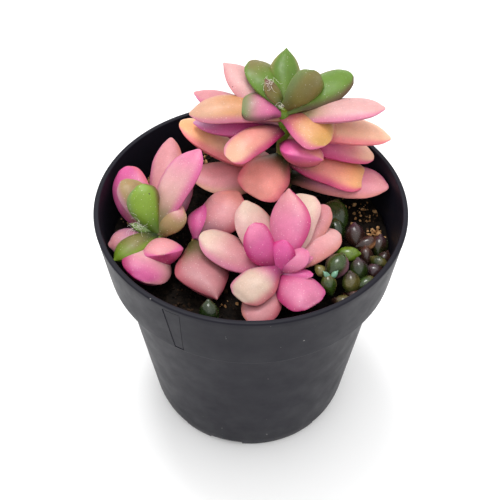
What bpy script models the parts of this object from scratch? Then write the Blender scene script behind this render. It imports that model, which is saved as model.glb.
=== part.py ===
"""Potted anacampseros: a small succulent in a black nursery pot.

Frame: the pot stands on z = 0 and is centred on the origin, +Z is up and the
plant is seen from -Y. Sizes are written in millimetres and angles in degrees,
and are turned into metres and radians where the meshes are made.
"""
import bpy
import bmesh
from math import atan2, cos, pi, radians, sin
from mathutils import Matrix, Vector

MM = 0.001
GAP = 0.3                 # clearance between pieces that touch

# Pot: a 7.5 cm nursery pot with a wide collar and a notched foot ring.
RIM_RADIUS = 37.5
POT_HEIGHT = 68.5
COLLAR_HEIGHT = 16.8
COLLAR_FOOT_RADIUS = 35.7
BODY_TOP_RADIUS = 33.1
BODY_FOOT_RADIUS = 26.7   # where the straight side would meet z = 0
WALL = 1.3
FOOT_RADIUS = 25.7
FOOT_WIDTH = 1.1
FLOOR_UNDERSIDE = 2.4
POT_STEPS = 60
NOTCH_DEPTH = 2.0
# Gaps in the foot ring: middle and width, both as angles round the pot.
NOTCHES = [(-135, 8), (-104, 20), (-38, 20), (45, 8), (76, 20), (142, 20)]
DRAIN_HOLE_RADIUS = 1.8
DRAIN_CIRCLE = 15.0
DRAIN_HOLES = 6
# Label panel sunk in the collar: angles of its sides at the top and bottom.
PANEL_TOP = (-120.8, -113.8)
PANEL_FOOT = (-118.6, -114.8)
PANEL_DEPTH = 0.3

# Soil
SOIL_LEVEL = 56.0
SOIL_BUMP = 0.5
SOIL_STEPS = 32
SOIL_RINGS = 6
SOIL_CHAMFER = 1.3        # how far its bottom edge is cut back
HOLE_DEPTH = 8.0          # stem holes, below the level and above it
HOLE_RISE = 5.0

# How a leaf ends. Each kind gives the place of its widest point (a share of
# its length) and the two exponents of the curve from there to its tip.
TIPS = {
    "round": (0.62, 0.45, 2.6),
    "square": (0.56, 0.32, 4.2),
    "spoon": (0.62, 0.62, 2.3),
    "point": (0.60, 0.78, 1.8),
    "kite": (0.56, 0.88, 1.35),
    "paddle": (0.72, 0.48, 2.4),
    "bead": (0.52, 0.55, 2.0),
}
STALK = 0.32              # width of a leaf at its root, as a share
UPPER_SHARE = 0.42        # how much of its thickness is above its edge
LENS = 1.3                # 1 is a round section, more is a sharper edge
LEAF_SIDES = 8
LEAF_RINGS = 7
BEAD_RINGS = 5

# Stems: foot (x, y) and top (x, y, z), radius at the foot and at the top.
STEMS = {
    "back": ((8.5, 18.5), (8.1, 18.1, 79.7), 2.4, 1.9),
    "crown": ((8.1, 18.1), (8.0, 18.0, 83.0), 1.8, 1.3),
    "front": ((6.2, -17.0), (6.2, -17.0, 62.5), 2.2, 1.6),
    "left": ((-22.3, -5.8), (-22.3, -5.8, 63.0), 2.0, 1.4),
    "side": ((-13.0, -6.0), (-13.0, -6.0, 61.0), 1.8, 1.4),
}

# Leaves. Each row: root height, heading, rise, length, width, thickness,
# roll, arch (share of the length), sideways bow (share of the width), tip.
# Headings run anticlockwise from +X, so -90 points at the viewer.
LEAVES = {
    "back_crown": [
        (82.0, 88, 27, 16, 7.8, 5, 5, 0.05, 0.03, "point"),
        (82.0, 124, 22, 15, 10, 5, 15, 0.0, 0.0, "round"),
        (82.0, 146, 47, 8.3, 4.2, 3.5, 0, 0.05, 0.0, "spoon"),
        (82.5, 23, 44, 11.2, 11, 5, -85, 0.05, 0, "paddle"),
        (81.3, 29, 14, 19, 10.5, 5.5, 0, 0.04, 0.0, "round"),
        (80.9, -178, 8, 10.8, 8.4, 4.5, -20, 0, -0.12, "round"),
    ],
    "back_plant": [
        (78.5, 141, 22, 20.8, 10, 4.5, 0, -0.03, 0.0, "point"),
        (77.5, 159, 6, 24, 8.5, 5, 5, 0.0, 0.0, "spoon"),
        (79.2, -178, 4, 23, 9.2, 5, -10, -0.08, -0.16, "spoon"),
        (75.5, 174, 0, 22.5, 8, 4.5, 0, 0.0, 0.0, "spoon"),
        (75.0, 174, -2, 16, 8, 4.5, -10, 0.0, 0.0, "spoon"),
        (62, 172, 24, 29, 12, 6, 5, 0, 0.05, "round"),
        (75.5, -138, 2, 17.8, 8.5, 5.5, -5, -0.08, -0.12, "square"),
        (66.5, -121, -6, 15, 12.4, 7, -12, 0, -0.04, "square"),
        (79.6, -40, -6, 13, 12.5, 5.5, 0, 0, 0.12, "round"),
        (71, -49, 15, 14, 12, 6, -25, 0.02, -0.05, "kite"),
        (78.0, -8, 16, 24.5, 10, 4.5, -5, -0.06, 0.08, "spoon"),
        (73.5, -8, 5, 26, 10, 5.5, 0, -0.11, 0.11, "spoon"),
        (70.5, -6, -5, 22.5, 10, 5, 0, -0.1, 0.1, "round"),
        (66, -22, -2, 21.5, 10.8, 6, 5, 0, 0.1, "square"),
        (59.5, -22, 12, 28, 11, 5.5, 10, 0.0, 0.08, "spoon"),
        (61.0, -166, 8, 24.5, 11, 5, -10, 0.05, 0.05, "spoon"),
    ],
    "front_plant": [
        (61.0, 115, 24, 19.5, 10.5, 5.5, 15, 0.04, 0.0, "spoon"),
        (61.5, 155, 12, 20, 10, 5.5, 3, 0.05, 0.04, "round"),
        (63.2, -136, -3, 12, 9.8, 6.2, 0, 0, 0, "square"),
        (62.5, 140, 52, 12.5, 7.5, 4.5, -20, 0.03, 0.1, "round"),
        (63.0, 81, 28, 19.5, 10.5, 4.5, -20, 0.08, -0.12, "point"),
        (62, 68, 22, 20.5, 10, 5, -10, 0.02, 0, "square"),
        (61.5, 55, 14, 21.5, 8, 5, 0, 0, 0, "round"),
        (62.0, 38, 5, 18.5, 9.5, 5.5, 0, 0.0, 0.05, "round"),
        (58.7, 60, 74, 11.2, 6.6, 5, 10, 0, 0, "round"),
        (62.6, 16, 28, 8.2, 6.5, 4.5, 0, 0, 0, "round"),
        (62.5, 12, 18, 8.5, 3, 3, 0, 0.0, 0.0, "round"),
        (60.6, -52, 9, 13, 10.5, 6, 0, 0.05, 0.05, "square"),
        (60.3, -114, -3, 14.5, 9, 5.5, 0, 0.04, 0.0, "spoon"),
        (61.6, -16, 14, 8.4, 3.6, 3, 0, 0, 0, "round"),
    ],
    "left_plant": [
        (61, 86, 19, 28, 8.4, 5, -10, 0, 0, "spoon"),
        (62.5, 55, 40, 22.5, 10, 5.5, -10, 0, 0.2, "spoon"),
        (62.0, 119, 17, 20.5, 10, 5, -30, 0.0, 0.1, "round"),
        (62.5, 129, 30, 15.5, 8, 4.5, 0, 0.02, -0.05, "round"),
        (63, 118, 46, 12, 8, 4.5, -10, 0, 0.1, "paddle"),
        (62, 42, 35, 9, 8, 5.5, 0, 0, 0, "round"),
        (63.0, 168, 15, 6.5, 3, 2.2, 0, 0.0, 0.0, "spoon"),
        (62.5, -137, 2, 12.8, 7, 4.5, 10, -0.1, -0.08, "point"),
        (61.2, -164, 5, 11.7, 8.0, 5, -15, 0.0, 0.0, "spoon"),
        (58.4, -78, 36, 10.5, 10.6, 7, 0, 0, 0, "round"),
        (59, -102, 13, 14.8, 12, 7.2, -20, 0, 0, "round"),
        (60.0, 68, 27, 18.5, 7.5, 5, 5, 0.0, 0.0, "spoon"),
    ],
    "side_shoot": [
        (60.5, 50, 20, 16, 12, 6, 0, 0.04, -0.05, "spoon"),
        (60.0, -73, 1, 18.5, 13, 6, -10, 0.0, -0.1, "kite"),
        (61.0, 80, 20, 9.5, 6.5, 4.5, 15, 0.0, 0.0, "kite"),
    ],
}
STEM_OF = {"back_crown": "crown", "back_plant": "back", "front_plant": "front",
           "left_plant": "left", "side_shoot": "side"}

# Creeping shoots: a thin stem lying on the soil and its bead leaves. Each bead
# row: centre (x, y, z), heading, rise, length, width, thickness.
SHOOT_RADIUS = 0.8
SHOOT_HEIGHT = 58.0
PETIOLE_RADIUS = 0.7
PETIOLE_TAPER = 0.8       # share of the radius left where it meets the bead
PETIOLE_REACH = 0.25      # how far it stops short of the bead's middle
RUN_OVERLAP = 0.5         # overlap of neighbouring runs, in stem radii
SHOOTS = {
    "green_shoot": {
        "path": [(16.5, -2.5), (19.0, -8.0), (19.0, -13.5), (16.5, -19.0)],
        "root": (19.0, -8.0),
        "beads": [
            (20.0, 1.5, 60.5, 75, 8, 13, 8, 4.4),
            (21.0, -2.5, 60.5, 100, 35, 6.5, 4.6, 4.2),
            (22.8, -10.8, 61.6, -8, 12, 6.2, 4.4, 4),
            (20.0, -15.5, 62.4, 60, 25, 6.8, 5.6, 4.8),
            (18.1, -20.2, 61.4, 104, 35, 5.2, 3.8, 3.6),
            (16.6, -15.6, 60.8, 140, 25, 3.8, 3, 2.6),
        ],
    },
    "brown_shoot": {
        "path": [(24.0, -2.5), (27.0, -6.5), (27.5, -11.0), (26.0, -16.0),
                 (21.5, -21.5)],
        "root": (27.5, -11.0),
        "beads": [
            (25.4, -4.3, 60.8, 95, 38, 6.4, 4.8, 4.2),
            (27.8, -6.6, 60.8, 22, 15, 5.6, 4, 3.6),
            (31.0, -6.9, 60.3, 80, 30, 5.4, 4.3, 4.0),
            (27.6, -10.0, 60.0, 95, 35, 4.8, 3.6, 3.4),
            (30.2, -12.2, 60.6, -40, 10, 4.6, 3.4, 3.2),
            (31.7, -10.9, 60.0, 60, 25, 4.2, 3.3, 3.1),
            (25.4, -16.0, 61.4, 100, 40, 6.0, 4.6, 4.4),
            (28.9, -14.8, 60.3, -15, 12, 4.8, 4.0, 3.8),
            (23.4, -19.6, 60.8, 100, 38, 6.0, 4.5, 4.3),
            (26.8, -19.0, 60.4, 30, 10, 5.2, 4.2, 3.8),
            (21.2, -24.1, 60.0, -15, 12, 5.2, 3.8, 3.6),
            (24.0, -22.2, 59.9, -10, 15, 3.8, 3.0, 3.2),
        ],
    },
    "front_shoot": {
        "path": [(-8.0, -26.8), (-10.0, -28.0)],
        "root": (-8.0, -26.8),
        "beads": [
            (-9.2, -28.4, 60.4, 95, 45, 6.4, 4.6, 4.2),
        ],
    },
}

COLOURS = {
    "pot": ((0.045, 0.043, 0.05), 0.5),
    "soil": ((0.02, 0.013, 0.01), 0.95),
    "back_crown": ((0.16, 0.27, 0.05), 0.45),
    "back_plant": ((0.75, 0.33, 0.24), 0.45),
    "front_plant": ((0.74, 0.26, 0.34), 0.45),
    "left_plant": ((0.62, 0.26, 0.24), 0.45),
    "side_shoot": ((0.62, 0.2, 0.19), 0.45),
    "green_shoot": ((0.09, 0.14, 0.03), 0.35),
    "brown_shoot": ((0.1, 0.06, 0.04), 0.35),
    "front_shoot": ((0.1, 0.09, 0.05), 0.35),
}


def finish(bm, name):
    """Turn a mesh being edited, in millimetres, into a finished object."""
    bm.normal_update()
    bmesh.ops.recalc_face_normals(bm, faces=bm.faces)
    bmesh.ops.scale(bm, vec=(MM, MM, MM), verts=bm.verts)
    mesh = bpy.data.meshes.new(name)
    bm.to_mesh(mesh)
    bm.free()
    mesh.shade_smooth()
    obj = bpy.data.objects.new(name, mesh)
    bpy.context.collection.objects.link(obj)
    return obj


def paint(obj):
    colour, roughness = COLOURS[obj.name]
    material = bpy.data.materials.new(obj.name)
    material.use_nodes = True
    shader = material.node_tree.nodes["Principled BSDF"]
    shader.inputs["Base Color"].default_value = (*colour, 1.0)
    shader.inputs["Roughness"].default_value = roughness
    material.diffuse_color = (*colour, 1.0)
    obj.data.materials.clear()
    obj.data.materials.append(material)


def combine(obj, others, operation="UNION"):
    """Join the others to obj, or cut them from it, and remove them."""
    group = bpy.data.collections.new("operands")
    bpy.context.scene.collection.children.link(group)
    for other in others:
        bpy.context.collection.objects.unlink(other)
        group.objects.link(other)
    boolean = obj.modifiers.new("boolean", "BOOLEAN")
    boolean.operation = operation
    boolean.solver = "EXACT"
    boolean.operand_type = "COLLECTION"
    boolean.collection = group
    graph = bpy.context.evaluated_depsgraph_get()
    mesh = bpy.data.meshes.new_from_object(obj.evaluated_get(graph))
    obj.modifiers.clear()
    obj.data = mesh
    for other in others:
        bpy.data.objects.remove(other)
    bpy.data.collections.remove(group)


def keep_largest(obj):
    """Drop the slivers that a Boolean leaves beside the main body."""
    bm = bmesh.new()
    bm.from_mesh(obj.data)
    unseen, bodies = set(bm.verts), []
    while unseen:
        body, edge_of_body = set(), [unseen.pop()]
        while edge_of_body:
            vert = edge_of_body.pop()
            body.add(vert)
            for edge in vert.link_edges:
                other = edge.other_vert(vert)
                if other in unseen:
                    unseen.remove(other)
                    edge_of_body.append(other)
        bodies.append(body)
    bodies.sort(key=len)
    slivers = [vert for body in bodies[:-1] for vert in body]
    bmesh.ops.delete(bm, geom=slivers, context="VERTS")
    bm.to_mesh(obj.data)
    bm.free()


def turned(name, profile, steps):
    """Spin an (r, z) outline that starts and ends on the axis, or closes."""
    bm = bmesh.new()
    verts = [bm.verts.new((r, 0.0, z)) for r, z in profile]
    edges = [bm.edges.new(pair) for pair in zip(verts, verts[1:])]
    if profile[0][0] > 0.0:
        edges.append(bm.edges.new((verts[-1], verts[0])))
    bmesh.ops.spin(bm, geom=verts + edges, angle=2 * pi, steps=steps,
                   axis=(0, 0, 1), cent=(0, 0, 0))
    bmesh.ops.remove_doubles(bm, verts=bm.verts, dist=0.0001)
    return finish(bm, name)


def tapered_rod(name, foot, top, foot_radius, top_radius, sides=12):
    """A closed rod between two points."""
    foot, top = Vector(foot), Vector(top)
    bm = bmesh.new()
    bmesh.ops.create_cone(bm, cap_ends=True, segments=sides,
                          radius1=foot_radius, radius2=top_radius,
                          depth=(top - foot).length)
    turn = (top - foot).to_track_quat("Z", "Y").to_matrix().to_4x4()
    bm.transform(Matrix.Translation((foot + top) / 2) @ turn)
    return finish(bm, name)


def leaf(name, root, heading, rise, length, width, thickness,
         roll=0.0, arch=0.0, bow=0.0, tip="spoon", rings=LEAF_RINGS):
    """A fleshy leaf: narrow root, widest past its middle, lens section."""
    widest, tip_power, tip_fullness = TIPS[tip]
    bm = bmesh.new()
    bmesh.ops.create_uvsphere(bm, u_segments=LEAF_SIDES, v_segments=rings,
                              radius=1.0)
    for vert in bm.verts:
        along = (1.0 - vert.co.z) / 2
        around = atan2(-vert.co.y, vert.co.x)
        pole = abs(vert.co.z) > 0.9999
        if along < widest:
            spread = STALK + (1 - STALK) * sin(pi / 2 * along / widest) ** 1.3
        else:
            t = (along - widest) / (1 - widest)
            spread = (1 - t ** tip_fullness) ** tip_power
        if along < 0.5:
            depth = 0.5 + 0.5 * sin(pi * along)
        else:
            depth = (1 - (2 * along - 1) ** 2.2) ** 0.65
        if pole:
            spread = depth = 0.0
        side, up = cos(around), sin(around)
        share = UPPER_SHARE if up > 0 else 1 - UPPER_SHARE
        lens = abs(up) ** LENS * (1 if up > 0 else -1)
        vert.co = (
            along * length,
            width * (spread * side / 2 + bow * sin(pi * along)),
            thickness * share * depth * lens
            + 2 * arch * length * (along * along - along),
        )
    bm.transform(Matrix.Translation(root)
                 @ Matrix.Rotation(radians(heading), 4, "Z")
                 @ Matrix.Rotation(radians(-rise), 4, "Y")
                 @ Matrix.Rotation(radians(roll), 4, "X"))
    return finish(bm, name)


def on_stem(stem, height):
    """The point at a height on a stem's axis."""
    (foot_x, foot_y), (top_x, top_y, top_z), _, _ = STEMS[stem]
    share = (height - SOIL_LEVEL) / (top_z - SOIL_LEVEL)
    return Vector((foot_x + (top_x - foot_x) * share,
                   foot_y + (top_y - foot_y) * share, height))


def leaves_of(name, clearance=0.0):
    """The separate leaves of a plant, swollen by a clearance."""
    return [
        leaf("leaf", on_stem(STEM_OF[name], height), heading, rise,
             length + clearance, width + 2 * clearance,
             thickness + 2 * clearance, roll, arch, bow, tip)
        for (height, heading, rise, length, width, thickness, roll, arch, bow,
             tip) in LEAVES[name]
    ]


def make_plant(name):
    """A stem with its leaves grown together."""
    stem = STEM_OF[name]
    _, top, foot_radius, top_radius = STEMS[stem]
    foot_height = SOIL_LEVEL - HOLE_DEPTH + 1.5 * GAP
    if stem == "crown":
        foot_height = STEMS["back"][1][2] + GAP
    plant = tapered_rod(name, on_stem(stem, foot_height), top,
                        foot_radius, top_radius)
    combine(plant, leaves_of(name))
    if name == "back_plant":
        _, crown_top, crown_foot_radius, crown_top_radius = STEMS["crown"]
        room = tapered_rod("room", on_stem("crown", top[2] - GAP), crown_top,
                           crown_foot_radius + 2 * GAP,
                           crown_top_radius + 2 * GAP)
        combine(room, leaves_of("back_crown", 2 * GAP))
        combine(plant, [room], "DIFFERENCE")
    keep_largest(plant)
    paint(plant)
    return plant


def nearest_on_path(point, path):
    """The nearest point to a point on a chain of straight runs."""
    best = None
    for start, end in zip(path, path[1:]):
        run = end - start
        share = max(0.0, min(1.0, (point - start).dot(run) / run.length_squared))
        spot = start + run * share
        if best is None or (spot - point).length < (best - point).length:
            best = spot
    return best


def make_shoot(name):
    """A creeping stem, rooted in the soil, with a stalk to each bead leaf."""
    spec = SHOOTS[name]
    path = [Vector((x, y, SHOOT_HEIGHT)) for x, y in spec["path"]]
    root = Vector((*spec["root"], SOIL_LEVEL - HOLE_DEPTH + GAP))
    top = Vector((*spec["root"], SHOOT_HEIGHT))
    shoot = tapered_rod(name, root, top, SHOOT_RADIUS, SHOOT_RADIUS, 8)
    pieces = []
    for start, end in zip(path, path[1:]):
        reach = (end - start).normalized() * SHOOT_RADIUS * RUN_OVERLAP
        pieces.append(tapered_rod("run", start - reach, end + reach,
                                  SHOOT_RADIUS, SHOOT_RADIUS, 8))
    for x, y, z, heading, rise, length, width, thickness in spec["beads"]:
        aim = Vector((cos(radians(rise)) * cos(radians(heading)),
                      cos(radians(rise)) * sin(radians(heading)),
                      sin(radians(rise))))
        centre = Vector((x, y, z))
        foot = nearest_on_path(centre, path)
        stalk_end = centre - aim * length * PETIOLE_REACH
        pieces.append(tapered_rod("stalk", foot, stalk_end, PETIOLE_RADIUS,
                                  PETIOLE_RADIUS * PETIOLE_TAPER, 6))
        pieces.append(leaf("bead", centre - aim * length / 2, heading, rise,
                           length, width, thickness, tip="bead",
                           rings=BEAD_RINGS))
    combine(shoot, pieces)
    keep_largest(shoot)
    paint(shoot)
    return shoot


def body_radius(height):
    """Outside radius of the tapered body below the collar."""
    collar_foot = POT_HEIGHT - COLLAR_HEIGHT
    return (BODY_FOOT_RADIUS
            + (BODY_TOP_RADIUS - BODY_FOOT_RADIUS) * height / collar_foot)


def collar_radius(height):
    """Outside radius of the collar."""
    share = (POT_HEIGHT - height) / COLLAR_HEIGHT
    return RIM_RADIUS + (COLLAR_FOOT_RADIUS - RIM_RADIUS) * share


def pot_outside():
    """The pot's outer outline, from its foot ring up to its rim."""
    collar_foot = POT_HEIGHT - COLLAR_HEIGHT
    return [
        (FOOT_RADIUS, 0.0),
        (FOOT_RADIUS + 0.5, 0.5),
        (body_radius(2.0) - 0.3, 2.0),
        (body_radius(5.0), 5.0),
        (BODY_TOP_RADIUS, collar_foot - 0.6),
        (BODY_TOP_RADIUS + 0.3, collar_foot - 0.1),
        (COLLAR_FOOT_RADIUS - 0.4, collar_foot),
        (COLLAR_FOOT_RADIUS, collar_foot + 0.5),
        (RIM_RADIUS, POT_HEIGHT - 0.5),
        (RIM_RADIUS - 0.15, POT_HEIGHT - 0.12),
        (RIM_RADIUS - 0.45, POT_HEIGHT),
    ]


def pot_inside():
    """The pot's inner outline, from its rim down to the middle of its floor."""
    collar_foot = POT_HEIGHT - COLLAR_HEIGHT
    floor_top = FLOOR_UNDERSIDE + WALL
    return [
        (RIM_RADIUS - WALL + 0.3, POT_HEIGHT),
        (RIM_RADIUS - WALL, POT_HEIGHT - 0.4),
        (COLLAR_FOOT_RADIUS - WALL, collar_foot + WALL + 0.6),
        (BODY_TOP_RADIUS - WALL + 0.2, collar_foot + 0.3),
        (body_radius(collar_foot - 0.9) - WALL, collar_foot - 0.9),
        (body_radius(floor_top + 1.2) - WALL, floor_top + 1.2),
        (body_radius(floor_top) - WALL - 1.0, floor_top),
        (0.0, floor_top),
    ]


def ring_wedge(name, middle, spread, inner, outer, low, high):
    """A block that covers an angle of a ring, used as a cutter."""
    steps = max(2, round(spread / 5))
    bm = bmesh.new()
    rows = []
    for i in range(steps + 1):
        angle = radians(middle - spread / 2 + spread * i / steps)
        rows.append([bm.verts.new((r * cos(angle), r * sin(angle), z))
                     for r, z in ((inner, low), (outer, low),
                                  (outer, high), (inner, high))])
    for first, second in zip(rows, rows[1:]):
        for i in range(4):
            j = (i + 1) % 4
            bm.faces.new((first[i], first[j], second[j], second[i]))
    bm.faces.new(rows[0])
    bm.faces.new(list(reversed(rows[-1])))
    return finish(bm, name)


def panel_cutter():
    """The tapered block that sinks the label panel into the collar."""
    low, high = POT_HEIGHT - COLLAR_HEIGHT - 1.0, POT_HEIGHT - 1.4
    bm = bmesh.new()
    corners = []
    for height, (left, right) in ((low, PANEL_FOOT), (high, PANEL_TOP)):
        for angle in (left, (left + right) / 2, right):
            turn = radians(angle)
            for radius in (collar_radius(height) - PANEL_DEPTH,
                           collar_radius(height) + 2.0):
                corners.append(bm.verts.new(
                    (radius * cos(turn), radius * sin(turn), height)))
    low_row, high_row = corners[:6], corners[6:]
    for i in (0, 2):
        bm.faces.new((low_row[i], low_row[i + 1], low_row[i + 3],
                      low_row[i + 2]))
        bm.faces.new((high_row[i], high_row[i + 2], high_row[i + 3],
                      high_row[i + 1]))
        bm.faces.new((low_row[i], low_row[i + 2], high_row[i + 2],
                      high_row[i]))
        bm.faces.new((low_row[i + 1], high_row[i + 1], high_row[i + 3],
                      low_row[i + 3]))
    for i in (0, 4):
        bm.faces.new((low_row[i], high_row[i], high_row[i + 1],
                      low_row[i + 1]))
    return finish(bm, "panel cutter")


def make_pot():
    foot_inner = FOOT_RADIUS - FOOT_WIDTH
    outline = ([(0.0, FLOOR_UNDERSIDE), (foot_inner - 0.5, FLOOR_UNDERSIDE),
                (foot_inner, FLOOR_UNDERSIDE - 0.5), (foot_inner, 0.0)]
               + pot_outside() + pot_inside())
    pot = turned("pot", outline, POT_STEPS)
    notches = [ring_wedge("notch", middle, spread, foot_inner - 1.0,
                          FOOT_RADIUS + 3.0, -1.0, NOTCH_DEPTH)
               for middle, spread in NOTCHES]
    combine(pot, notches + [panel_cutter()], "DIFFERENCE")
    holes = []
    for i in range(DRAIN_HOLES):
        angle = 2 * pi * (i + 0.5) / DRAIN_HOLES
        x, y = DRAIN_CIRCLE * cos(angle), DRAIN_CIRCLE * sin(angle)
        holes.append(tapered_rod("drain hole", (x, y, 1.0), (x, y, 5.0),
                                 DRAIN_HOLE_RADIUS, DRAIN_HOLE_RADIUS))
    combine(pot, holes, "DIFFERENCE")
    pot.data.set_sharp_from_angle(angle=radians(35))
    paint(pot)
    return pot


def soil_bump(x, y):
    """Height of the lumpy soil over its level."""
    return SOIL_BUMP * (0.5 * sin(0.55 * x + 0.8) * cos(0.47 * y - 0.4)
                        + 0.5 * sin(0.31 * x - 0.62 * y + 1.9))


def make_soil():
    """Soil that fills the pot, lumpy on top, with a hole for each stem."""
    clearance = 1.6 * GAP
    floor_top = FLOOR_UNDERSIDE + WALL + GAP
    wall = [(r - clearance, z) for r, z in pot_inside()
            if floor_top < z < SOIL_LEVEL - SOIL_BUMP]
    edge = collar_radius(SOIL_LEVEL) - WALL - clearance
    profile = ([(edge * i / SOIL_RINGS, SOIL_LEVEL)
                for i in range(SOIL_RINGS + 1)]
               + wall
               + [(wall[-1][0] - SOIL_CHAMFER, floor_top), (0.0, floor_top)])
    soil = turned("soil", profile, SOIL_STEPS)
    for vert in soil.data.vertices:
        if vert.co.z > (SOIL_LEVEL - 0.01) * MM:
            x, y = vert.co.x / MM, vert.co.y / MM
            vert.co.z += soil_bump(x, y) * MM
    low, high = SOIL_LEVEL - HOLE_DEPTH, SOIL_LEVEL + HOLE_RISE
    holes = []
    for stem, ((x, y), _, foot_radius, _) in STEMS.items():
        if stem != "crown":
            spot = on_stem(stem, low)
            holes.append(tapered_rod("hole", (spot.x, spot.y, low),
                                     (x, y, high), foot_radius + 2.5 * GAP,
                                     foot_radius + 2.5 * GAP, 16))
    for spec in SHOOTS.values():
        x, y = spec["root"]
        holes.append(tapered_rod("hole", (x, y, low), (x, y, high),
                                 SHOOT_RADIUS + 2 * GAP,
                                 SHOOT_RADIUS + 2 * GAP))
    combine(soil, holes, "DIFFERENCE")
    paint(soil)
    return soil


def main():
    for obj in list(bpy.data.objects):
        bpy.data.objects.remove(obj)
    make_pot()
    make_soil()
    for name in LEAVES:
        make_plant(name)
    for name in SHOOTS:
        make_shoot(name)


main()
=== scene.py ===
# Potted anacampseros: the finished look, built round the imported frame.
# Dictionaries hold millimetres and degrees. Meshes are made in millimetres and scaled to metres once.
import bpy
import bmesh
import random
from math import atan2, cos, degrees, pi, radians, sin
from mathutils import Matrix, Vector, noise


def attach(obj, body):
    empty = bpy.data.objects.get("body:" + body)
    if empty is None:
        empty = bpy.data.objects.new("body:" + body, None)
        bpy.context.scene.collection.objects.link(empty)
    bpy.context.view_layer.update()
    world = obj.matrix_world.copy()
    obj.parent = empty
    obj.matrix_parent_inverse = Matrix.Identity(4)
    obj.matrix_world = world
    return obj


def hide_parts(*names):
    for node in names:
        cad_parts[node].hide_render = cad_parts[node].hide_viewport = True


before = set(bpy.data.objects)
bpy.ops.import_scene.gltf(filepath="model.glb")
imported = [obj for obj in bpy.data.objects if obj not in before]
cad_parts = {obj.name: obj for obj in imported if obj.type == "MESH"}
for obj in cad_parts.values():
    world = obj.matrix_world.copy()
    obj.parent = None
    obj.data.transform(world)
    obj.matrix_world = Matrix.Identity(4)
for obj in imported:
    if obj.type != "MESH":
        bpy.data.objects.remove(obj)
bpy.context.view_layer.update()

toMetres = 0.001
noise.seed_set(4)  # without a seed of its own, noise_vector takes the clock and every run differs
print("frame loaded")


# Camera where the photograph was taken from, looking down at the rim
cameraPlace = {"spot": (-0.13, -151.3, 215.47), "lookDown": 47.384, "roll": 0.433,
               "lens": 63.36, "sensor": 36.0, "nearest": 10}


def placeCamera():
    camera = bpy.data.objects.new("camera", bpy.data.cameras.new("camera"))
    camera.data.lens = cameraPlace["lens"]
    camera.data.sensor_width = cameraPlace["sensor"]
    camera.data.clip_start = cameraPlace["nearest"] * toMetres
    camera.matrix_world = (Matrix.Translation(Vector(cameraPlace["spot"]) * toMetres)
                           @ Matrix.Rotation(radians(90 - cameraPlace["lookDown"]), 4, "X")
                           @ Matrix.Rotation(radians(cameraPlace["roll"]), 4, "Z"))
    bpy.context.scene.collection.objects.link(camera)
    bpy.context.scene.camera = camera


# Soft white studio light: a pale room, a small sheet high behind and a large one high in front
studio = {
    "room": (1.0, 1.0, 1.0), "roomStrength": 1.2, "aim": (0, 0, 60),
    "sheets": [
        # name, place, size, watts
        ("window", (-60, 120, 560), 170, 1.5),
        ("overhead", (60, -120, 640), 520, 0.6),
    ],
    "floorColour": (0.96, 0.96, 0.96), "floorRoughness": 0.7, "floorHalf": 1600,
}


def lightStudio():
    scene = bpy.context.scene
    scene.view_settings.view_transform = "Standard"
    world = bpy.data.worlds.new("paleRoom")
    world.use_nodes = True
    sky = world.node_tree.nodes["Background"]
    sky.inputs["Color"].default_value = (*studio["room"], 1)
    sky.inputs["Strength"].default_value = studio["roomStrength"]
    scene.world = world
    aim = Vector(studio["aim"]) * toMetres
    for name, spot, size, watts in studio["sheets"]:
        sheet = bpy.data.lights.new(name, "AREA")
        sheet.size = size * toMetres
        sheet.energy = watts
        spot = Vector(spot) * toMetres
        turn = (aim - spot).to_track_quat("-Z", "Y").to_matrix().to_4x4()
        lamp = bpy.data.objects.new(name, sheet)
        lamp.matrix_world = Matrix.Translation(spot) @ turn
        scene.collection.objects.link(lamp)


def layFloor():
    bm = bmesh.new()
    bmesh.ops.create_grid(bm, x_segments=1, y_segments=1, size=studio["floorHalf"])
    floor = finishPiece(bm, "floor")
    material, _, shader = newMaterial("paleFloor")
    shader.inputs["Base Color"].default_value = (*studio["floorColour"], 1)
    shader.inputs["Roughness"].default_value = studio["floorRoughness"]
    floor.data.materials.append(material)


# Steps shared by the pieces
def smoothStep(low, high, value):
    share = max(0.0, min(1.0, (value - low) / (high - low)))
    return share * share * (3 - 2 * share)


def gather(whole, part):
    # Join a small bmesh to a larger one, which is much quicker than growing the large one
    carrier = bpy.data.meshes.new("carrier")
    part.to_mesh(carrier)
    part.free()
    whole.from_mesh(carrier)
    bpy.data.meshes.remove(carrier)


def spinOutline(bm, outline, steps):
    # Turn an outline of (radius, height) points, which starts and ends on the axis, into a closed shell
    chain = [bm.verts.new((radius, 0, height)) for radius, height in outline]
    lines = [bm.edges.new(pair) for pair in zip(chain, chain[1:])]
    bmesh.ops.spin(bm, geom=chain + lines, axis=(0, 0, 1), cent=(0, 0, 0), angle=2 * pi,
                   steps=steps, use_merge=True)
    bmesh.ops.remove_doubles(bm, verts=bm.verts, dist=0.001)
    bm.normal_update()
    bmesh.ops.recalc_face_normals(bm, faces=bm.faces)


def finishPiece(bm, name, crease=None):
    bmesh.ops.scale(bm, vec=(toMetres,) * 3, verts=bm.verts)
    mesh = bpy.data.meshes.new(name)
    bm.to_mesh(mesh)
    bm.free()
    mesh.shade_smooth()
    if crease is not None:
        mesh.set_sharp_from_angle(angle=radians(crease))
    piece = bpy.data.objects.new(name, mesh)
    bpy.context.scene.collection.objects.link(piece)
    return piece


# Steps shared by the materials
def newMaterial(name):
    material = bpy.data.materials.new(name)
    material.use_nodes = True
    tree = material.node_tree
    return material, tree, tree.nodes["Principled BSDF"]


def objectPlace(tree):
    return tree.nodes.new("ShaderNodeTexCoord").outputs["Object"]


def feed(tree, socket, value):
    # A socket takes another node's output, a number or a colour
    if isinstance(value, bpy.types.NodeSocket):
        tree.links.new(value, socket)
    elif isinstance(value, (int, float)):
        socket.default_value = value
    else:
        socket.default_value = (*value, 1)


def perMetre(size):
    # Texture scale for lumps of about this size
    return 1 / (size * toMetres)


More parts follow.
